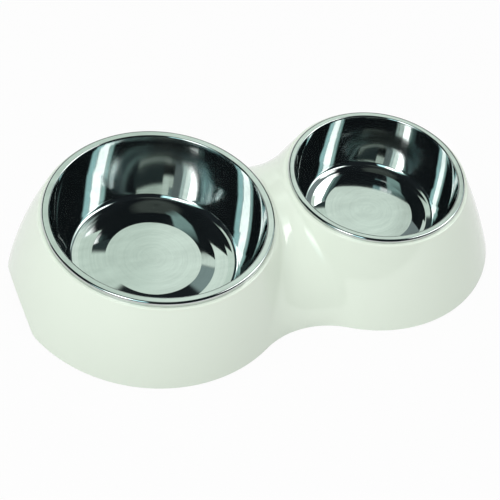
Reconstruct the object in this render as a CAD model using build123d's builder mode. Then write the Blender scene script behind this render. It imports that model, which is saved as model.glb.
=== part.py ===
from build123d import *
from math import atan2, cos, degrees, radians, sin, sqrt
import os

# Double pet bowl: a moulded stand of two round lobes that run into each other,
# two steel bowls that hang in it by their rims, and push-in rubber feet.
# Millimetres, +Z up. The origin is on the floor, under the middle of the stand's length.
# The long way is X, with the large bowl towards -X.
os.makedirs("parts", exist_ok=True)

# Bowls: pressed sheet with a turned-down rim, a bulged wall and a raised disc in the floor
sheet = 0.8
rim_width = 4.4
rim_round = 1.2
lip_round = 1.2
step_round = 4.0
bevel_share = 0.17
ring_share = 0.89
corner_share = 0.04
bulge_share = 0.046
bulge_reach = 0.4
seat_clearance = 0.5
large_rim_radius = 70.0
large_wall_lean = 14.8
large_disc_share = 0.577
large_disc_rise = 0.9
large_ring_rise = 0.3
large_floor_clear = 15.3
small_rim_radius = 55.2
small_wall_lean = 10.8
small_disc_share = 0.685
small_disc_rise = 1.1
small_ring_rise = 0.7
small_floor_clear = 21.3

# Stand: lands under the rims, and flanks that spread from them to the floor
land_height = 53.4
land_margin = 1.8
rim_gap = 16.8
large_rim_rise = 3.4
small_rim_rise = 2.5
large_flank_spread = 16.2
small_flank_spread = 22.4
large_flank_bulge = 2.0
small_flank_bulge = 1.0
wall = 3.0
shoulder_radius = 1.4

# Stand: waist and saddle between the lobes
waist_share = 0.8
saddle_drop = 2.0
saddle_power = 1.49
saddle_levels = 7
saddle_top_angle = 86.0

# Finger recess under the end of the large lobe
recess_height = 10.5
recess_half_width = 28.0
recess_end_radius = 9.0

# Feet: a pad below the stand's edge and a stem pushed into a moulded boss
foot_proud = 0.8
foot_radius = 6.0
foot_flange = 1.6
foot_edge = 0.5
foot_gap = 0.8
stem_radius = 2.6
stem_length = 7.0
stem_tip = 0.7
stem_clearance = 0.15
stem_spare = 1.0
boss_wall = 2.6
web_width = 2.6
large_foot_angles = (62.0, 128.0)
small_foot_angles = (42.0,)

# Sizes that follow
large_land_radius = large_rim_radius + land_margin
small_land_radius = small_rim_radius + land_margin
large_base_radius = large_land_radius + large_flank_spread
small_base_radius = small_land_radius + small_flank_spread
large_rim_top = land_height + large_rim_rise
small_rim_top = land_height + small_rim_rise
large_hole_radius = large_rim_radius - rim_width + sheet + seat_clearance
small_hole_radius = small_rim_radius - rim_width + sheet + seat_clearance
waist_half_width = waist_share * small_base_radius
saddle_height = land_height - saddle_drop
hole_depth = saddle_drop + 2 * wall
boss_radius = stem_radius + stem_clearance + boss_wall
boss_height = stem_length + stem_spare + boss_wall
recess_rise = recess_height - foot_proud
recess_radius = (recess_half_width**2 + recess_rise**2) / (2 * recess_rise)
recess_reach = large_base_radius - sqrt((large_base_radius - 2 * wall) ** 2 - recess_half_width**2)


# A lobe's radius shrinks from the floor to the land with a slight outward bulge.
def lobe_radius(base, land, bulge, height):
    rise = (height - foot_proud) / (land_height - foot_proud)
    return base + (land - base) * rise + 4 * bulge * rise * (1 - rise)


def large_radius(height):
    return lobe_radius(large_base_radius, large_land_radius, large_flank_bulge, height)


def small_radius(height):
    return lobe_radius(small_base_radius, small_land_radius, small_flank_bulge, height)


# The stand's length runs from the top of the recess to the far foot of the small lobe.
bowl_spacing = large_rim_radius + small_rim_radius + rim_gap
large_end = large_radius(recess_height)
length = large_end + bowl_spacing + small_base_radius
large_x = large_end - length / 2
small_x = large_x + bowl_spacing


# Heights of the sections, closer together where the saddle flattens at its top.
def section_heights(inset):
    rise = saddle_height - inset - foot_proud
    turns = [saddle_top_angle * step / (saddle_levels - 1) for step in range(saddle_levels)]
    return [foot_proud + rise * sin(radians(turn)) ** (2 / saddle_power) for turn in turns]


# Outline at a height: both lobes, and a hollow arc each side that touches them
# and comes within the half waist of the centre line.
def stand_outline(height, inset):
    large = large_radius(height) - inset
    small = small_radius(height) - inset
    rise = (height - foot_proud) / (saddle_height - inset - foot_proud)
    half_waist = (waist_half_width - inset) * sqrt(1 - rise**saddle_power)
    middle = (bowl_spacing**2 + large**2 - small**2) / (2 * bowl_spacing)
    lean = (large - small) / bowl_spacing
    near = large - half_waist - middle * lean
    far = middle**2 + half_waist**2 - large**2
    hollow = far / (near + sqrt(near**2 - lean**2 * far))
    hollow_x = large_x + middle + lean * hollow
    hollow_y = half_waist + hollow
    large_touch = degrees(atan2(hollow_y, hollow_x - large_x))
    small_touch = degrees(atan2(hollow_y, hollow_x - small_x))
    with BuildSketch(Plane.XY.offset(height)) as outline:
        with BuildLine():
            CenterArc((small_x, 0), small, -small_touch, small_touch)
            CenterArc((small_x, 0), small, 0, small_touch)
            CenterArc((hollow_x, hollow_y), hollow, small_touch + 180, large_touch - small_touch)
            CenterArc((large_x, 0), large, large_touch, 180 - large_touch)
            CenterArc((large_x, 0), large, 180, 180 - large_touch)
            CenterArc((hollow_x, -hollow_y), hollow, 180 - large_touch, large_touch - small_touch)
        make_face()
    return outline.sketch


# Half section of the ring of a lobe above the outlines, up to the land.
def collar_section(x, low, low_radius, high, high_radius):
    with BuildSketch(Plane.XZ.shift_origin((x, 0, 0))) as section:
        with BuildLine():
            Polyline((0, low), (low_radius, low), (high_radius, high), (0, high), close=True)
        make_face()
    return section.sketch


# Body of the stand, moved in by a wall: the cavity is the same form, one wall smaller.
def stand_body(inset):
    heights = section_heights(inset)
    outlines = [stand_outline(height, inset) for height in heights]
    low = heights[-1]
    top = land_height - inset
    large_collar = collar_section(large_x, low, large_radius(low) - inset, top, large_radius(top) - inset)
    small_collar = collar_section(small_x, low, small_radius(low) - inset, top, small_radius(top) - inset)
    with BuildPart() as body:
        loft(outlines)
        add(revolve(large_collar, axis=Axis((large_x, 0, 0), (0, 0, 1)), mode=Mode.PRIVATE))
        add(revolve(small_collar, axis=Axis((small_x, 0, 0), (0, 0, 1)), mode=Mode.PRIVATE))
    return body.part


# Places of the feet, just inside the wall of each lobe, with X pointing out to the wall.
def foot_planes():
    inside = wall + foot_radius + foot_gap
    places = [(large_x, large_base_radius - inside, angle) for angle in large_foot_angles]
    places += [(small_x, small_base_radius - inside, angle) for angle in small_foot_angles]
    planes = []
    for x, reach, angle in places:
        for turn in (radians(-angle), radians(angle)):
            out = (cos(turn), sin(turn), 0)
            planes.append(Plane((x + reach * cos(turn), reach * sin(turn), 0), x_dir=out, z_dir=(0, 0, 1)))
    return planes


feet = foot_planes()
outer_body = stand_body(0)
inner_body = stand_body(wall)

# Hollow of the stand, with a boss left standing for each foot and a web from it to the wall
with BuildPart() as cavity:
    add(inner_body)
    for foot_plane in feet:
        with BuildSketch(foot_plane.offset(foot_flange)):
            Circle(boss_radius)
            Rectangle(boss_radius + foot_radius + wall, web_width, align=(Align.MIN, Align.CENTER))
        extrude(amount=boss_height, mode=Mode.SUBTRACT)

with BuildPart() as base_shell:
    add(outer_body)
    fillet(base_shell.faces().group_by(Axis.Z)[-1].edges(), shoulder_radius)
    add(cavity.part, mode=Mode.SUBTRACT)
    # holes that the bowls hang in
    with BuildSketch(Plane.XY.offset(land_height)):
        with Locations((large_x, 0)):
            Circle(large_hole_radius)
        with Locations((small_x, 0)):
            Circle(small_hole_radius)
    extrude(amount=-hole_depth, mode=Mode.SUBTRACT)
    # blind holes for the stems of the feet
    for foot_plane in feet:
        with BuildSketch(foot_plane.offset(foot_flange)):
            Circle(stem_radius + stem_clearance)
        extrude(amount=stem_length + stem_spare, mode=Mode.SUBTRACT)
    # arched finger recess through the wall at the end of the large lobe, with flared ends
    with BuildSketch(Plane.YZ.offset(large_x - large_base_radius)):
        with Locations((0, recess_height - recess_radius)):
            Circle(recess_radius)
    extrude(amount=recess_reach, mode=Mode.SUBTRACT)
    fillet(base_shell.edges().filter_by(Axis.X).group_by(Axis.Z)[0], recess_end_radius)
base_shell.part.label = "base_shell"
export_step(base_shell.part, "parts/base_shell.step")


# Half section of a bowl: the upper side of the sheet from the centre to the lip, then its thickness.
# The floor has a raised disc, a bevel, a flat and a ring that rises to the foot of the wall.
# The wall is two straights that meet in an outward corner, rounded over most of their length.
def bowl_section(x, rim_radius, rim_top, clear, lean, disc_share, disc_rise, ring_rise):
    floor = clear + sheet
    foot = floor + ring_rise
    mouth = rim_radius - rim_width
    floor_radius = mouth - lean
    disc_radius = disc_share * floor_radius
    depth = rim_top - foot
    slant = sqrt(lean**2 + depth**2)
    bulge = bulge_share * slant
    bulge_radius = bulge_reach * slant / (2 * bulge_share)
    with BuildSketch(Plane.XZ.shift_origin((x, 0, 0))) as section:
        with BuildLine():
            FilletPolyline(
                (0, floor + disc_rise),
                (disc_radius, floor + disc_rise),
                (disc_radius + bevel_share * floor_radius, floor),
                (ring_share * floor_radius, floor),
                (floor_radius, foot),
                (mouth - lean / 2 + bulge * depth / slant, foot + depth / 2 - bulge * lean / slant),
                (mouth, rim_top),
                (rim_radius, rim_top),
                (rim_radius, land_height),
                radius=(
                    step_round,
                    step_round,
                    step_round,
                    corner_share * floor_radius,
                    bulge_radius,
                    lip_round,
                    rim_round,
                ),
            )
            offset(amount=sheet, side=Side.RIGHT)
        make_face()
    return section.sketch


large_section = bowl_section(
    large_x,
    large_rim_radius,
    large_rim_top,
    large_floor_clear,
    large_wall_lean,
    large_disc_share,
    large_disc_rise,
    large_ring_rise,
)
small_section = bowl_section(
    small_x,
    small_rim_radius,
    small_rim_top,
    small_floor_clear,
    small_wall_lean,
    small_disc_share,
    small_disc_rise,
    small_ring_rise,
)

with BuildPart() as large_bowl:
    revolve(large_section, axis=Axis((large_x, 0, 0), (0, 0, 1)))
large_bowl.part.label = "large_bowl"
export_step(large_bowl.part, "parts/large_bowl.step")

with BuildPart() as small_bowl:
    revolve(small_section, axis=Axis((small_x, 0, 0), (0, 0, 1)))
small_bowl.part.label = "small_bowl"
export_step(small_bowl.part, "parts/small_bowl.step")

for number, foot_plane in enumerate(feet, start=1):
    with BuildPart(foot_plane) as foot:
        Cylinder(foot_radius, foot_flange, align=(Align.CENTER, Align.CENTER, Align.MIN))
        fillet(foot.edges().group_by(Axis.Z)[0], foot_edge)
        Cylinder(stem_radius, foot_flange + stem_length, align=(Align.CENTER, Align.CENTER, Align.MIN))
        chamfer(foot.edges().group_by(Axis.Z)[-1], stem_tip)
    foot.part.label = f"foot_{number}"
    export_step(foot.part, f"parts/foot_{number}.step")
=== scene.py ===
import math

import bpy
import numpy as np
from mathutils import Matrix, Vector


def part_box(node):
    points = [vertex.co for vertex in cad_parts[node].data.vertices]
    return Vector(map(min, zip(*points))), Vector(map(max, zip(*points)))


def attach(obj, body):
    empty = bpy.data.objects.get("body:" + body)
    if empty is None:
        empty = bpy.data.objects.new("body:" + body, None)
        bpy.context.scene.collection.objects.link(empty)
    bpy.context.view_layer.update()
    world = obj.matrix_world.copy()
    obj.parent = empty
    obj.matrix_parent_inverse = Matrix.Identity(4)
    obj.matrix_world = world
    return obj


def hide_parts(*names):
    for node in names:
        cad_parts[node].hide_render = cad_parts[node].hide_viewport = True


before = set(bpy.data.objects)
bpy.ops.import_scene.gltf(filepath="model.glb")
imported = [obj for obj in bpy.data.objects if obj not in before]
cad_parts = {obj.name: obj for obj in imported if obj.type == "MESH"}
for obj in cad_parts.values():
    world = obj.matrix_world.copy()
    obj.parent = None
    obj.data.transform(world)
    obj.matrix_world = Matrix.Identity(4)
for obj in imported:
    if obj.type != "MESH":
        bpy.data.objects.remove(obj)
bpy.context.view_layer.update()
print("frame loaded:", ", ".join(sorted(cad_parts)))

mm = 0.001
lowLarge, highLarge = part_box("large_bowl")
lowSmall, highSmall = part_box("small_bowl")
largeAxis = (lowLarge.x + highLarge.x) / 2 / mm  # bowl axes, along x
smallAxis = (lowSmall.x + highSmall.x) / 2 / mm
spacing = smallAxis - largeAxis

meshing = {
    "merge": 2e-6,  # metres within which points are one
    "sharp": 40,  # degrees between faces past which an edge stays sharp
}


# mesh from grids of points: rows and columns become quads, and equal points are merged
def meshFromGrids(name, grids):
    points, quads, start = [], [], 0
    for grid, closed, flip in grids:
        rows, cols = grid.shape[:2]
        index = np.arange(rows * cols).reshape(rows, cols) + start
        if closed:
            index = np.concatenate([index, index[:1]])
        a, b = index[:-1, :-1], index[1:, :-1]
        c, d = index[1:, 1:], index[:-1, 1:]
        quad = np.stack([a, b, c, d] if flip else [a, d, c, b], -1).reshape(-1, 4)
        points.append(grid.reshape(-1, 3))
        quads.append(quad)
        start += rows * cols
    points = np.concatenate(points) * mm
    quads = np.concatenate(quads)
    cell = np.round(points / meshing["merge"]).astype(np.int64)
    _, first, back = np.unique(cell, axis=0, return_index=True, return_inverse=True)
    points = points[first]
    quads = back.reshape(-1)[quads]
    # a quad with one side of no length becomes a triangle, and one with more is dropped
    doubled = quads == np.roll(quads, -1, axis=1)
    count = doubled.sum(1)
    triangles = quads[count == 1][~doubled[count == 1]].reshape(-1, 3)
    mesh = bpy.data.meshes.new(name)
    mesh.from_pydata(points.tolist(), [], quads[count == 0].tolist() + triangles.tolist())
    mesh.polygons.foreach_set("use_smooth", np.ones(len(mesh.polygons), bool))
    mesh.set_sharp_from_angle(angle=math.radians(meshing["sharp"]))
    mesh.update()
    piece = bpy.data.objects.new(name, mesh)
    bpy.context.scene.collection.objects.link(piece)
    return piece


# rounded section line: each inner corner of a polyline gives way to an arc that touches both its sides
def roundedLine(corners, radii, arcSteps, stepMax, guard):
    corners = np.array(corners, float)
    parts = [corners[:1]]
    for before, at, after, radius in zip(corners[:-2], corners[1:-1], corners[2:], radii):
        u = (before - at) / np.linalg.norm(before - at)
        v = (after - at) / np.linalg.norm(after - at)
        half = np.arccos(np.clip(u @ v, -1, 1)) / 2
        middle = at + (u + v) / np.linalg.norm(u + v) * radius / np.sin(half)
        first = at + u * radius / np.tan(half) - middle
        last = at + v * radius / np.tan(half) - middle
        turn = np.arctan2(first[0] * last[1] - first[1] * last[0], first @ last)
        steps = max(arcSteps, math.ceil(abs(turn) * radius / stepMax))
        angles = np.linspace(0, turn, steps + 1)
        side = np.array([-first[1], first[0]])
        parts.append(middle + np.cos(angles)[:, None] * first + np.sin(angles)[:, None] * side)
    line = np.concatenate(parts + [corners[-1:]])
    # long straights are divided, so that quads stay near square
    lengths = np.linalg.norm(np.diff(line, axis=0), axis=1)
    steps = np.maximum(np.ceil(lengths / stepMax), 1).astype(int)
    places = np.concatenate([k + np.arange(n) / n for k, n in enumerate(steps)] + [[len(line) - 1]])
    # a guard point close to each end keeps a straight's normals straight
    straight = np.nonzero(steps > 1)[0]
    near = guard / lengths[straight]
    places = np.sort(np.concatenate([places, straight + near, straight + 1 - near]))
    index = np.arange(len(line))
    return np.stack([np.interp(places, index, line[:, 0]), np.interp(places, index, line[:, 1])], 1)


# section turned about an upright axis at x, y: (radius, height) becomes a ring of points
def turned(section, x, columns, y=0.0):
    angle = np.linspace(0, 2 * np.pi, columns, endpoint=False)[:, None]
    ring = section[None, :, 0]
    height = np.broadcast_to(section[None, :, 1], (columns, len(section)))
    return np.stack([x + ring * np.cos(angle), y + ring * np.sin(angle), height], -1)


# Stand: moulded shell of two lobes with a saddle between them
stand = {
    "floor": 0.8,  # height of the bottom edge, over the feet
    "land": 53.4,  # height of the flat round the holes
    "saddle": 51.4,  # height between the lobes
    "waist": 63.52,  # half width at the floor
    "power": 1.49,  # of the curve that narrows the waist upwards
    "wall": 3.0,
    "split": 78.0,  # from the large axis to the plane where the lobes' grids meet
    "recessHeight": 10.5,
    "recessHalf": 28.0,
    "recessEnd": 9.0,  # radius of the flare at each end
    "recessFrom": 2.0,  # radians round from the other lobe
    "bridgeColumns": 44,
    "lobeColumns": 92,
    "outerRows": 96,
    "innerRows": 34,
    "shoulder": 9.0,  # length of section by the hole that has closer rows
    "shoulderRows": 0.3,  # and its share of the rows
    "softRounds": 5,  # rounds of relaxing all over
    "bridgeRounds": 160,  # and across the bridge between the lobes
    "bridgeEnd": 48,  # degrees round from the other lobe where the bridge ends
    "bridgeFade": 26,  # degrees over which it does
    "noReach": 1e3,  # for a ray that misses the waist
}
# toward is the way along x to the other lobe, base and land are the radii at the floor and at the land
largeLobe = {
    "axis": largeAxis, "toward": 1, "base": 88.0, "land": 71.8, "bulge": 2.0, "hole": 66.9, "recess": True,
}
smallLobe = {
    "axis": smallAxis, "toward": -1, "base": 79.4, "land": 57.0, "bulge": 1.0, "hole": 52.1, "recess": False,
}


# radius of a lobe: a straight taper from floor to land and a parabola's bulge on it
def lobeRadius(lobe, z):
    rise = (z - stand["floor"]) / (stand["land"] - stand["floor"])
    return lobe["base"] + (lobe["land"] - lobe["base"]) * rise + 4 * lobe["bulge"] * rise * (1 - rise)


# hollow arc of the waist at a height: touches both lobe circles, and its nearest point to y = 0 lies at half
# the waist's width there
def waistArc(z, inset):
    large = lobeRadius(largeLobe, z) - inset
    small = lobeRadius(smallLobe, z) - inset
    rise = np.clip((z - stand["floor"]) / (stand["saddle"] - inset - stand["floor"]), 0, 1)
    half = (stand["waist"] - inset) * np.sqrt(np.maximum(1 - rise ** stand["power"], 0))
    middle = (spacing**2 + large**2 - small**2) / (2 * spacing)
    lean = (large - small) / spacing
    near = large - half - middle * lean
    far = middle**2 + half**2 - large**2
    hollow = far / (near + np.sqrt(np.maximum(near**2 - lean**2 * far, 0)))
    return middle + lean * hollow, half + hollow, hollow


# distance from a lobe's axis to the outline at height z, along the ray at an angle from the other lobe
def outlineReach(lobe, angle, z, inset):
    circle = lobeRadius(lobe, z) - inset
    arcX, arcY, hollow = waistArc(z, inset)
    if lobe["toward"] < 0:
        arcX = spacing - arcX
    ahead = arcX * np.cos(angle) + arcY * np.sin(angle)
    square = ahead**2 - (arcX**2 + arcY**2 - hollow**2)
    inArc = (angle < np.arctan2(arcY, arcX)) & (z < stand["saddle"] - inset)
    through = np.where(square > 0, ahead - np.sqrt(np.maximum(square, 0)), stand["noReach"])
    return np.where(inArc, through, circle)


# arch of the finger recess over y: a circle's arc that runs out into a flare at each end
def recessArch(y):
    floor, top = stand["floor"], stand["recessHeight"]
    half, flare = stand["recessHalf"], stand["recessEnd"]
    rise = top - floor
    radius = (half**2 + rise**2) / (2 * rise)
    low = top - radius
    flareY = np.sqrt((radius + flare) ** 2 - (floor + flare - low) ** 2)
    touchY = flareY * radius / (radius + flare)
    y = np.abs(y)
    arch = low + np.sqrt(np.maximum(radius**2 - y**2, 0))
    ends = floor + flare - np.sqrt(np.maximum(flare**2 - (flareY - y) ** 2, 0))
    return np.where(y < touchY, arch, np.where(y < flareY, ends, floor))


# halving search on height: keeps the low end where the test holds
def highestWhere(test, low, high, halvings=44):
    for _ in range(halvings):
        middle = (low + high) / 2
        holds = test(middle)
        low, high = np.where(holds, middle, low), np.where(holds, high, middle)
    return (low + high) / 2


# skin of a lobe: each ray from its axis carries a section from the bowl hole over the land and down the
# flank, walked in steps of (radius - height), to the floor, the recess or the plane between the lobes
def lobeSkin(lobe, inset, rows):
    floor, top = stand["floor"], stand["land"] - inset
    split = stand["split"] if lobe["toward"] > 0 else spacing - stand["split"]
    arcX, arcY, hollow = waistArc(np.array(floor), inset)
    edgeY = arcY - np.sqrt(hollow**2 - (stand["split"] - arcX) ** 2)
    bridgeTurn = np.linspace(0, np.pi / 2, stand["bridgeColumns"] + 1)
    bridge = np.arctan2(edgeY * np.sin(bridgeTurn), split)
    lobeAngles = np.linspace(bridge[-1], np.pi, stand["lobeColumns"] + 1)[1:]
    angle = np.concatenate([bridge, lobeAngles])
    onLobe = np.arange(len(angle)) > stand["bridgeColumns"]

    def underArch(z):
        return z < recessArch(outlineReach(lobe, angle, z, inset) * np.sin(angle))

    def pastEnd(z):
        return outlineReach(lobe, angle, z, inset) >= endReach

    def onFlank(z):
        return outlineReach(lobe, angle[:, None], z, inset) >= walk + z

    lowest = np.full_like(angle, floor)
    if lobe["recess"]:
        arch = highestWhere(underArch, lowest, lowest + stand["recessHeight"])
        lowest = np.where(angle > stand["recessFrom"], arch, floor)
    splitReach = split / np.cos(np.where(onLobe, 0, angle))
    endReach = np.where(onLobe, outlineReach(lobe, angle, lowest, inset), splitReach)
    overSplit = highestWhere(pastEnd, np.full_like(angle, floor), np.full_like(angle, top))
    endHeight = np.where(onLobe, lowest, overSplit)
    endHeight[stand["bridgeColumns"]] = floor
    start = lobe["hole"] - top
    total = (endReach - endHeight) - start
    t = np.linspace(0, 1, rows + 1)[None, :]
    share = stand["shoulderRows"]
    near = np.minimum(share * total, stand["shoulder"])[:, None]
    further = near + (total[:, None] - near) * (t - share) / (1 - share)
    walk = start + np.where(t < share, near * t / share, further)
    z = highestWhere(onFlank, np.full_like(walk, floor), np.full_like(walk, top))
    z[:, -1] = endHeight
    reach = walk + z
    reach[:, 0], z[:, 0] = lobe["hole"], top
    return angle, reach, z


# section lines relaxed along their length: each round moves a point half way to the middle of its neighbours
def relaxed(values, rounds):
    soft = values.copy()
    for _ in range(rounds):
        soft[:, 1:-1] += 0.25 * (soft[:, :-2] + soft[:, 2:] - 2 * soft[:, 1:-1])
    return soft


# polar rows of the half skin and their mirror image, in the stand's frame
def skinGrid(lobe, angle, reach, z):
    x = lobe["axis"] + lobe["toward"] * reach * np.cos(angle)[:, None]
    y = reach * np.sin(angle)[:, None]
    y[[0, -1]] = 0
    upper = np.stack([x, y, z], -1)
    lower = (upper * [1, -1, 1])[1:-1][::-1]
    return np.concatenate([upper, lower])


# stand: for each lobe an outer skin, relaxed a little all over and much more across the bridge, an inner
# skin one wall further in, and bands between them round the hole and along the bottom edge
def buildStand():
    grids = []
    for lobe in (largeLobe, smallLobe):
        angle, reach, z = lobeSkin(lobe, 0.0, stand["outerRows"])
        bridging = (np.radians(stand["bridgeEnd"]) - angle[:, None]) / np.radians(stand["bridgeFade"])
        bridging = np.clip(bridging, 0, 1)
        bridging = bridging * bridging * (3 - 2 * bridging)
        softReach, softZ = relaxed(reach, stand["softRounds"]), relaxed(z, stand["softRounds"])
        wideReach, wideZ = relaxed(reach, stand["bridgeRounds"]), relaxed(z, stand["bridgeRounds"])
        reach = softReach + (wideReach - softReach) * bridging
        z = softZ + (wideZ - softZ) * bridging
        outer = skinGrid(lobe, angle, reach, z)
        inner = skinGrid(lobe, *lobeSkin(lobe, stand["wall"], stand["innerRows"]))
        flip = lobe["toward"] > 0
        grids.append((outer, True, not flip))
        grids.append((inner, True, flip))
        grids.append((np.stack([inner[:, 0], outer[:, 0]], 1), True, not flip))
        foot = slice(stand["bridgeColumns"], len(outer) - stand["bridgeColumns"] + 1)
        grids.append((np.stack([outer[foot, -1], inner[foot, -1]], 1), False, not flip))
    return meshFromGrids("stand", grids + bossGrids())


# Bosses under the stand that hold the stems of the feet, each with a web to the wall
boss = {
    "low": 1.6,
    "top": 12.2,
    "radius": 5.35,
    "hole": 2.75,
    "holeTop": 9.6,
    "columns": 40,
    "inside": 9.8,  # from the lobe's outline at the floor to the boss's axis
    "web": 2.6,
    "webStart": 0.6,  # outside the hole
    "sunk": 1.2,  # the web's end in the wall
}
footPlaces = ((largeLobe, 62), (largeLobe, 128), (smallLobe, 42))  # angle round from +x


# boss: a turned line from the hole's roof, out over the ring below and up to the top
# web: a rectangle carried from the boss out to the wall, and closed to a point at both ends
def bossGrids():
    line = [(0, boss["holeTop"]), (boss["hole"], boss["holeTop"]), (boss["hole"], boss["low"])]
    line += [(boss["radius"], boss["low"]), (boss["radius"], boss["top"]), (0, boss["top"])]
    tall = boss["top"] - boss["low"]
    corners = np.array([(-1, 0), (1, 0), (1, 1), (-1, 1)]) * [boss["web"] / 2, tall]
    middle = np.array([0, tall / 2])
    opened = np.array([0.0, 1.0, 1.0, 0.0])[None, :, None]
    atWall = np.array([False, False, True, True])[None, :, None]
    place = middle + (corners[:, None] - middle) * opened
    height = place[..., 1:] + boss["low"]
    grids = []
    for lobe, angle in footPlaces:
        for turn in (math.radians(angle), -math.radians(angle)):
            out = np.array([math.cos(turn), math.sin(turn)])
            side = np.array([-math.sin(turn), math.cos(turn)])
            centre = np.array([lobe["axis"], 0]) + (lobe["base"] - boss["inside"]) * out
            grids.append((turned(np.array(line), centre[0], boss["columns"], centre[1]), True, True))
            wallRadius = lobeRadius(lobe, height) - stand["wall"]
            wallReach = wallRadius - lobe["base"] + boss["inside"] + boss["sunk"]
            reach = np.where(atWall, wallReach, boss["hole"] + boss["webStart"])
            ground = centre + reach * out + place[..., :1] * side
            grids.append((np.concatenate([ground, height], -1), True, True))
    return grids


standPiece = buildStand()
print("stand:", len(standPiece.data.polygons), "faces")

# Bowls: pressed sheet, a raised disc in the floor, a bulged wall and a turned-down rim; shares are of the
# floor's radius
bowl = {
    "sheet": 0.8,
    "rimDish": 0.11,  # the rim's inner edge lies this much lower
    "rimRound": 1.3,
    "lipRound": 0.9,
    "stepRound": 4.0,
    "bevelShare": 0.17,  # width of the slope round the disc
    "ringShare": 0.89,  # end of the flat ring outside it
    "cornerShare": 0.075,  # rounding at the foot of the wall
    "bulgeReach": 0.4,  # of the wall that the bulge's arc takes up
    "waveFade": 0.12,  # of the wall at each end
    "columns": 240,
    "arcSteps": 10,
    "stepMax": 0.8,
    "guard": 0.06,
}
# clear is the height under the floor, lean how far the wall leans out, bulge a share of the wall's length
largeBowl = {
    "axis": largeAxis, "rim": 70.0, "rimTop": 56.8, "clear": 15.3, "rimWidth": 4.8, "lean": 13.6,
    "discShare": 0.568, "discRise": 0.9, "ringRise": 0.3, "bulge": 0.046, "wave": 0.0, "waves": 3,
}
smallBowl = {
    "axis": smallAxis, "rim": 55.2, "rimTop": 55.9, "clear": 21.3, "rimWidth": 4.2, "lean": 9.9,
    "discShare": 0.67, "discRise": 1.1, "ringRise": 0.7, "bulge": 0.054, "wave": 0.003, "waves": 3,
}


# upper side of the sheet: a rounded line from the centre to the lip
# under side: the same line, moved one sheet down square to itself
def bowlSection(size):
    floor = size["clear"] + bowl["sheet"]
    foot = floor + size["ringRise"]
    mouth = size["rim"] - size["rimWidth"]
    floorRadius = mouth - size["lean"]
    discRadius = size["discShare"] * floorRadius
    depth = size["rimTop"] - foot
    slant = math.hypot(size["lean"], depth)
    bulge = size["bulge"] * slant
    corners = [
        (0, floor + size["discRise"]),
        (discRadius, floor + size["discRise"]),
        (discRadius + bowl["bevelShare"] * floorRadius, floor),
        (bowl["ringShare"] * floorRadius, floor),
        (floorRadius, foot),
        (mouth - size["lean"] / 2 + bulge * depth / slant, foot + depth / 2 - bulge * size["lean"] / slant),
        (mouth, size["rimTop"] - bowl["rimDish"]),
        (size["rim"], size["rimTop"]),
        (size["rim"], stand["land"]),
    ]
    step = bowl["stepRound"]
    cornerRound = bowl["cornerShare"] * floorRadius
    wallRound = bowl["bulgeReach"] * slant / (2 * size["bulge"])
    radii = (step, step, step, cornerRound, wallRound, bowl["lipRound"], bowl["rimRound"])
    upper = roundedLine(corners, radii, bowl["arcSteps"], bowl["stepMax"], bowl["guard"])
    # drawing ripple: a low sine in the wall's radius, faded out at both ends
    climb = np.clip((upper[:, 1] - foot) / depth, 0, 1)
    onWall = (upper[:, 0] > bowl["ringShare"] * floorRadius) & (upper[:, 0] < mouth)
    fade = np.clip(np.minimum(climb, 1 - climb) / bowl["waveFade"], 0, 1) * onWall
    upper[:, 0] += size["wave"] * fade * np.sin(2 * np.pi * size["waves"] * climb)
    along = np.gradient(upper, axis=0)
    along /= np.linalg.norm(along, axis=1)[:, None]
    along[0], along[-1] = (1, 0), (0, -1)
    under = upper + bowl["sheet"] * np.stack([along[:, 1], -along[:, 0]], 1)
    under[0, 0] = 0
    return upper, under


# bowl: both sides of the sheet turned about its axis, with a band between them at the lip
def buildBowl(name, size):
    upper, under = bowlSection(size)
    inside = turned(upper, size["axis"], bowl["columns"])
    outside = turned(under, size["axis"], bowl["columns"])
    lip = np.stack([inside[:, -1], outside[:, -1]], 1)
    return meshFromGrids(name, [(inside, True, False), (outside, True, True), (lip, True, False)])


largePiece = buildBowl("largeBowl", largeBowl)
smallPiece = buildBowl("smallBowl", smallBowl)
print("bowls:", len(largePiece.data.polygons), len(smallPiece.data.polygons), "faces")


# node helper: makes a node, sets inputs by name, and links those given as sockets
def node(tree, kind, inputs=None, **settings):
    made = tree.nodes.new(kind)
    for key, value in settings.items():
        setattr(made, key, value)
    for key, value in (inputs or {}).items():
        if isinstance(value, bpy.types.NodeSocket):
            tree.links.new(value, made.inputs[key])
        else:
            made.inputs[key].default_value = value
    return made


def newMaterial(name):
    material = bpy.data.materials.new(name)
    material.use_nodes = True
    tree = material.node_tree
    tree.nodes.clear()
    return material, tree


def maths(tree, operation, a, b=0.0):
    return node(tree, "ShaderNodeMath", {0: a, 1: b}, operation=operation).outputs[0]


# value carried from one range to another, and kept inside it
def rangeMap(tree, value, low, high, toLow, toHigh):
    ranges = {"From Min": low, "From Max": high, "To Min": toLow, "To Max": toHigh}
    return node(tree, "ShaderNodeMapRange", {"Value": value, **ranges}).outputs["Result"]


def noise(tree, place, scale, detail):
    inputs = {"Vector": place, "Scale": scale, "Detail": detail}
    return node(tree, "ShaderNodeTexNoise", inputs).outputs["Fac"]


# colour between two, sockets 6 and 7 of the mix
def colourMix(tree, share, start, end):
    return node(tree, "ShaderNodeMix", {"Factor": share, 6: start, 7: end}, data_type="RGBA").outputs[2]


# normal from a height, with its depth in millimetres
def bump(tree, height, strength, depth):
    inputs = {"Height": height, "Strength": strength, "Distance": depth * mm}
    return node(tree, "ShaderNodeBump", inputs).outputs["Normal"]


def setSurface(tree, inputs):
    surface = node(tree, "ShaderNodeBsdfPrincipled", inputs)
    node(tree, "ShaderNodeOutputMaterial", {"Surface": surface.outputs["BSDF"]})


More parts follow.
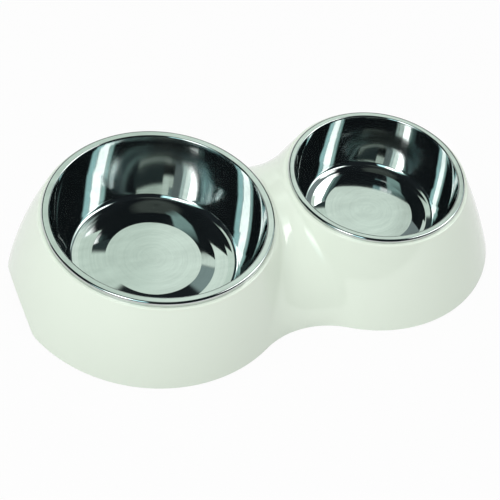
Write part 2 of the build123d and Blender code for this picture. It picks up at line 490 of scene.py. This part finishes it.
# Melamine: glossy off-white moulding, faint cloudiness and a fine surface ripple
melamine = {
    "pale": (0.80, 0.89, 0.775, 1),
    "shade": (0.78, 0.87, 0.755, 1),
    "roughness": (0.04, 0.07),
    "ior": 1.55,
    "cloudScale": 22.0,
    "cloudDetail": 3.0,
    "cloudRange": (0.3, 0.7),
    "rippleScale": 260.0,
    "rippleDetail": 2.0,
    "ripple": 0.02,
    "rippleDepth": 0.4,
}


def melamineMaterial():
    material, tree = newMaterial("melamine")
    place = node(tree, "ShaderNodeTexCoord").outputs["Object"]
    cloud = noise(tree, place, melamine["cloudScale"], melamine["cloudDetail"])
    ripple = noise(tree, place, melamine["rippleScale"], melamine["rippleDetail"])
    setSurface(tree, {
        "Base Color": colourMix(tree, cloud, melamine["shade"], melamine["pale"]),
        "Roughness": rangeMap(tree, cloud, *melamine["cloudRange"], *melamine["roughness"]),
        "Normal": bump(tree, ripple, melamine["ripple"], melamine["rippleDepth"]),
        "IOR": melamine["ior"],
    })
    return material


# Steel: polished wall and rim with fine turning lines and soft wiping marks, satin disc in the floor
steel = {
    "colour": (0.60, 0.625, 0.615),
    "wallRough": 0.03,
    "discRough": 0.05,
    "discEdge": 0.8,  # width over which the satin ends
    "lineRough": 0.03,
    "lineScale": 2600.0,
    "lineTurn": 1.5,  # scale round the axis
    "lineDetail": 3.0,
    "lineBump": 0.015,
    "lineDepth": 0.1,
    "bandScale": 0.3,  # of the line scale
    "bandDetail": 2.0,
    "bandRange": (0.35, 0.65),
    "bandTone": (0.96, 1.02),
    "wipeScale": (38.0, 120.0, 38.0),  # longer one way
    "wipeTurn": 0.45,
    "wipeDetail": 4.0,
    "wipeRange": (0.3, 0.7),
    "wipeTone": (0.90, 1.05),
}


# lines and bands are noise over (radius + height) and the angle round the bowl's axis
def steelMaterial(name, size):
    material, tree = newMaterial(name)
    place = node(tree, "ShaderNodeTexCoord").outputs["Object"]
    toAxis = (-size["axis"] * mm, 0, 0)
    centred = node(tree, "ShaderNodeMapping", {"Vector": place, "Location": toAxis}).outputs["Vector"]
    parts = node(tree, "ShaderNodeSeparateXYZ", {"Vector": centred}).outputs
    squareX = maths(tree, "MULTIPLY", parts["X"], parts["X"])
    squareY = maths(tree, "MULTIPLY", parts["Y"], parts["Y"])
    radius = maths(tree, "SQRT", maths(tree, "ADD", squareX, squareY))
    across = maths(tree, "MULTIPLY", maths(tree, "ADD", radius, parts["Z"]), steel["lineScale"])
    around = maths(tree, "MULTIPLY", maths(tree, "ARCTAN2", parts["Y"], parts["X"]), steel["lineTurn"])
    linePlace = node(tree, "ShaderNodeCombineXYZ", {"X": across, "Y": around}).outputs["Vector"]
    turning = {"Vector": centred, "Rotation": (0, 0, steel["wipeTurn"]), "Scale": steel["wipeScale"]}
    wipePlace = node(tree, "ShaderNodeMapping", turning).outputs["Vector"]
    lines = noise(tree, linePlace, 1.0, steel["lineDetail"])
    bands = noise(tree, linePlace, steel["bandScale"], steel["bandDetail"])
    wipes = noise(tree, wipePlace, 1.0, steel["wipeDetail"])
    bandTone = rangeMap(tree, bands, *steel["bandRange"], *steel["bandTone"])
    wipeTone = rangeMap(tree, wipes, *steel["wipeRange"], *steel["wipeTone"])
    toned = {0: steel["colour"], "Scale": maths(tree, "MULTIPLY", bandTone, wipeTone)}
    disc = size["discShare"] * (size["rim"] - size["rimWidth"] - size["lean"])
    edge = (disc - steel["discEdge"]) * mm, disc * mm
    base = rangeMap(tree, radius, *edge, steel["discRough"], steel["wallRough"])
    setSurface(tree, {
        "Base Color": node(tree, "ShaderNodeVectorMath", toned, operation="SCALE").outputs["Vector"],
        "Metallic": 1.0,
        "Roughness": maths(tree, "ADD", base, maths(tree, "MULTIPLY", lines, steel["lineRough"])),
        "Normal": bump(tree, lines, steel["lineBump"], steel["lineDepth"]),
    })
    return material


# Rubber: matt dark grey with a fine grain
rubber = {
    "dark": (0.025, 0.025, 0.026, 1),
    "light": (0.045, 0.045, 0.047, 1),
    "roughness": 0.7,
    "grainScale": 900.0,
    "grainDetail": 4.0,
    "grain": 0.2,
    "grainDepth": 0.2,
}


def rubberMaterial():
    material, tree = newMaterial("footRubber")
    place = node(tree, "ShaderNodeTexCoord").outputs["Object"]
    grain = noise(tree, place, rubber["grainScale"], rubber["grainDetail"])
    setSurface(tree, {
        "Base Color": colourMix(tree, grain, rubber["dark"], rubber["light"]),
        "Roughness": rubber["roughness"],
        "Normal": bump(tree, grain, rubber["grain"], rubber["grainDepth"]),
    })
    return material


standPiece.data.materials.append(melamineMaterial())
largePiece.data.materials.append(steelMaterial("largeSteel", largeBowl))
smallPiece.data.materials.append(steelMaterial("smallSteel", smallBowl))
footRubber = rubberMaterial()
for name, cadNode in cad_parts.items():
    if name.startswith("foot_"):
        cadNode.data.materials.clear()
        cadNode.data.materials.append(footRubber)

for piece, body, nodeName, slotName in (
    (standPiece, "stand", "base_shell", "melamine"),
    (largePiece, "large_bowl", "large_bowl", "steel"),
    (smallPiece, "small_bowl", "small_bowl", "steel"),
):
    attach(piece, body)
    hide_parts(nodeName)
print("materials and bodies set")

# Stage: white floor and background, three softboxes, a dark studio for the steel to mirror, camera
stage = {
    "worldFill": 0.50,
    "floorSize": 6.0,
    "floorDrop": 0.05,  # a hair under the feet
    "floorColour": (0.62, 0.62, 0.62, 1),
    "floorGlow": 0.95,
    "lens": 143.626,
    "sensor": 36.0,
    "clip": (0.05, 50.0),
    "azimuth": -27.1381,
    "elevation": 47.7735,
    "roll": 9.8330,
    "target": (-13.119, -18.919, 30.0),
    "distance": 1212.33,
}
white = (1, 1, 1, 1)


# 1 for rays from the camera, a mirror or glass, 0 for the rays that light the object
def seenRay(tree):
    path = node(tree, "ShaderNodeLightPath").outputs
    direct = maths(tree, "MAXIMUM", path["Is Camera Ray"], path["Is Glossy Ray"])
    return maths(tree, "MAXIMUM", direct, path["Is Transmission Ray"])


# world that is white where it is seen and a plain level of light for the rest
def buildWorld():
    world = bpy.data.worlds.new("studio")
    bpy.context.scene.world = world
    world.use_nodes = True
    tree = world.node_tree
    tree.nodes.clear()
    level = rangeMap(tree, seenRay(tree), 0.0, 1.0, stage["worldFill"], 1.0)
    light = node(tree, "ShaderNodeBackground", {"Color": white, "Strength": level})
    node(tree, "ShaderNodeOutputWorld", {"Surface": light.outputs["Background"]})


# floor: one square whose glow makes it white where it is seen, over a paint that takes the shadow
def buildFloor():
    half, low = stage["floorSize"] / 2, -stage["floorDrop"] * mm
    corners = [(-half, -half, low), (half, -half, low), (half, half, low), (-half, half, low)]
    mesh = bpy.data.meshes.new("floor")
    mesh.from_pydata(corners, [], [(0, 1, 2, 3)])
    floor = bpy.data.objects.new("floor", mesh)
    bpy.context.scene.collection.objects.link(floor)
    material, tree = newMaterial("paleFloor")
    paint = node(tree, "ShaderNodeBsdfDiffuse", {"Color": stage["floorColour"]}).outputs[0]
    glow = node(tree, "ShaderNodeEmission", {"Color": white, "Strength": 1.0}).outputs[0]
    share = maths(tree, "MULTIPLY", seenRay(tree), stage["floorGlow"])
    both = node(tree, "ShaderNodeMixShader", {0: share, 1: paint, 2: glow})
    node(tree, "ShaderNodeOutputMaterial", {"Surface": both.outputs[0]})
    floor.data.materials.append(material)


# softboxes that light the object: bearing round from +x and angle down from overhead of the middle,
# and spread, in degrees, distance in metres
softboxes = {
    "leftSoftbox": {"bearing": 216, "down": 47, "wide": 32, "long": 74, "away": 1.8, "level": 1.11},
    "overSoftbox": {"bearing": 200, "down": 18, "wide": 50, "long": 50, "away": 1.8, "level": 1.65},
    "rightSoftbox": {"bearing": 5, "down": 50, "wide": 42, "long": 50, "away": 1.8, "level": 0.50},
}
# the studio as the steel shows it: from and to bearing, from and to angle down from overhead, colour;
# a later panel lies in front of an earlier one
panels = {
    "darkDome": (0, 360, 0, 97, (0.016, 0.021, 0.024)),
    "overhead": (0, 360, 0, 9, (0.10, 0.12, 0.11)),
    "stripMiddle": (204, 228, 22, 60, (4.2, 4.4, 4.4)),
    "stripLeft": (195, 204, 26, 66, (0.95, 1.45, 1.40)),
    "stripRight": (228, 243, 22, 60, (1.10, 1.80, 1.85)),
    "stripEnd": (172, 212, 9, 22, (0.45, 0.68, 0.65)),
    "boxMiddle": (-12, 9, 24, 55, (6.0, 6.0, 6.0)),
    "boxInner": (9, 22, 24, 57, (1.70, 1.95, 1.85)),
    "boxRight": (22, 29, 24, 64, (1.00, 1.25, 1.20)),
    "boxLow": (-12, 22, 57, 74, (0.60, 0.72, 0.69)),
    "boxLeft": (-20, -12, 24, 80, (0.40, 0.62, 0.58)),
    "boxEdge": (-29, -20, 24, 80, (0.14, 0.22, 0.22)),
    "scrimFar": (66, 125, 31, 43.4, (0.80, 0.965, 0.855)),
    "scrimNear": (54, 69, 36, 46.2, (0.93, 1.09, 0.98)),
    "scrimEdge": (46, 54, 42, 46.2, (0.85, 1.00, 0.90)),
    "scrimDim": (46, 54, 34, 42, (0.28, 0.38, 0.37)),
    "scrimBar": (58, 112, 51.5, 55, (0.26, 0.30, 0.26)),
    "scrimLowBar": (80, 112, 60, 62.5, (0.28, 0.33, 0.28)),
    "backNear": (46, 69, 46.2, 66, (0.013, 0.018, 0.018)),
    "backFar": (69, 130, 43.4, 66, (0.035, 0.055, 0.056)),
    "backSide": (29, 46, 34, 54, (0.25, 0.31, 0.31)),
    "backLow": (60, 150, 66, 97, (0.80, 0.86, 0.82)),
}
# width in degrees of a panel's soft border, by how its name starts; the border straddles the panel's limits
softBorder = {"strip": 5.0, "box": 4.0, "scrim": 1.0, "back": 2.0, "over": 4.0}
# the first panel's distance, and how much nearer each next one lies
panelGrid = {"away": 2600.0, "apart": 4.0, "columns": 49, "rows": 25}


# unit vector to a bearing round from +x and an angle down from overhead
def direction(bearing, down):
    bearing, down = np.radians(bearing), np.radians(down)
    ring = np.sin(down)
    return np.stack(np.broadcast_arrays(ring * np.cos(bearing), ring * np.sin(bearing), np.cos(down)), -1)


# rectangle of light that faces the object; its power goes with its area, so level is how bright its face is
def addSoftbox(name, box):
    lamp = bpy.data.lights.new(name, "AREA")
    lamp.shape = "RECTANGLE"
    lamp.size = 2 * box["away"] * math.tan(math.radians(box["wide"] / 2))
    lamp.size_y = 2 * box["away"] * math.tan(math.radians(box["long"] / 2))
    lamp.energy = box["level"] * math.pi * lamp.size * lamp.size_y
    back = Vector(direction(box["bearing"], box["down"]))
    side = Vector((0, 0, 1)).cross(back).normalized()
    turn = Matrix((side, back.cross(side), back)).transposed().to_4x4()
    holder = bpy.data.objects.new(name, lamp)
    holder.matrix_world = Matrix.Translation(back * box["away"]) @ turn
    holder.visible_camera = holder.visible_glossy = False
    bpy.context.scene.collection.objects.link(holder)


# how far each point of a panel lies inside its outer limits, as a share of the border
def borderFade(panel, spread, border):
    points = np.empty(3 * len(panel.data.vertices))
    panel.data.vertices.foreach_get("co", points)
    x, y, z = points.reshape(-1, 3).T
    aside = (np.degrees(np.arctan2(y, x)) - spread[:2].mean() + 180) % 360 - 180
    inBearing = (spread[1] - spread[0]) / 2 - np.abs(aside)
    angle = np.degrees(np.arctan2(np.hypot(x, y), z))
    inDown = np.minimum(angle - spread[2], spread[3] - angle)
    whole = spread[1] - spread[0] >= 360
    inside = inDown if whole else np.minimum(inBearing, inDown)
    return np.clip(inside / border, 0, 1).astype(np.float32)


# panel on a sphere round the object, a grid of bearing and angle that fades out over its border
def addPanel(name, limits, order):
    border = next((width for word, width in softBorder.items() if name.startswith(word)), 0.0)
    spread = np.array(limits[:4]) + border / 2 * np.array((-1, 1, -1, 1))
    bearing = np.linspace(spread[0], spread[1], panelGrid["columns"])[:, None]
    down = np.linspace(max(spread[2], 0), spread[3], panelGrid["rows"])[None, :]
    away = panelGrid["away"] - panelGrid["apart"] * order
    panel = meshFromGrids(name, [(direction(bearing, down) * away, False, False)])
    material, tree = newMaterial(name)
    glow = node(tree, "ShaderNodeEmission", {"Color": (*limits[4], 1), "Strength": 1.0}).outputs[0]
    if border:
        fade = panel.data.attributes.new("fade", "FLOAT", "POINT")
        fade.data.foreach_set("value", borderFade(panel, spread, border))
        share = node(tree, "ShaderNodeAttribute", attribute_name="fade").outputs["Fac"]
        clear = node(tree, "ShaderNodeBsdfTransparent").outputs[0]
        glow = node(tree, "ShaderNodeMixShader", {0: share, 1: clear, 2: glow}).outputs[0]
    node(tree, "ShaderNodeOutputMaterial", {"Surface": glow})
    panel.data.materials.append(material)
    panel.visible_camera = panel.visible_diffuse = panel.visible_shadow = panel.visible_transmission = False


# camera that looks at the target from an azimuth and elevation, rolled about its line of sight
def addCamera():
    az, el, roll = (math.radians(stage[key]) for key in ("azimuth", "elevation", "roll"))
    back = Vector((math.sin(az) * math.cos(el), -math.cos(az) * math.cos(el), math.sin(el)))
    right = Vector((math.cos(az), math.sin(az), 0))
    up = back.cross(right)
    rolledRight = math.cos(roll) * right + math.sin(roll) * up
    rolledUp = math.cos(roll) * up - math.sin(roll) * right
    lens = bpy.data.cameras.new("camera")
    lens.lens = stage["lens"]
    lens.sensor_width = stage["sensor"]
    lens.sensor_fit = "HORIZONTAL"
    lens.clip_start, lens.clip_end = stage["clip"]
    camera = bpy.data.objects.new("camera", lens)
    place = Vector(stage["target"]) * mm + back * stage["distance"] * mm
    turn = Matrix((rolledRight, rolledUp, back)).transposed().to_4x4()
    camera.matrix_world = Matrix.Translation(place) @ turn
    bpy.context.scene.collection.objects.link(camera)
    bpy.context.scene.camera = camera


buildWorld()
buildFloor()
for order, (name, limits) in enumerate(panels.items()):
    addPanel(name, limits, order)
for name, box in softboxes.items():
    addSoftbox(name, box)
addCamera()
bpy.context.scene.view_settings.view_transform = "Standard"
print("stage set")
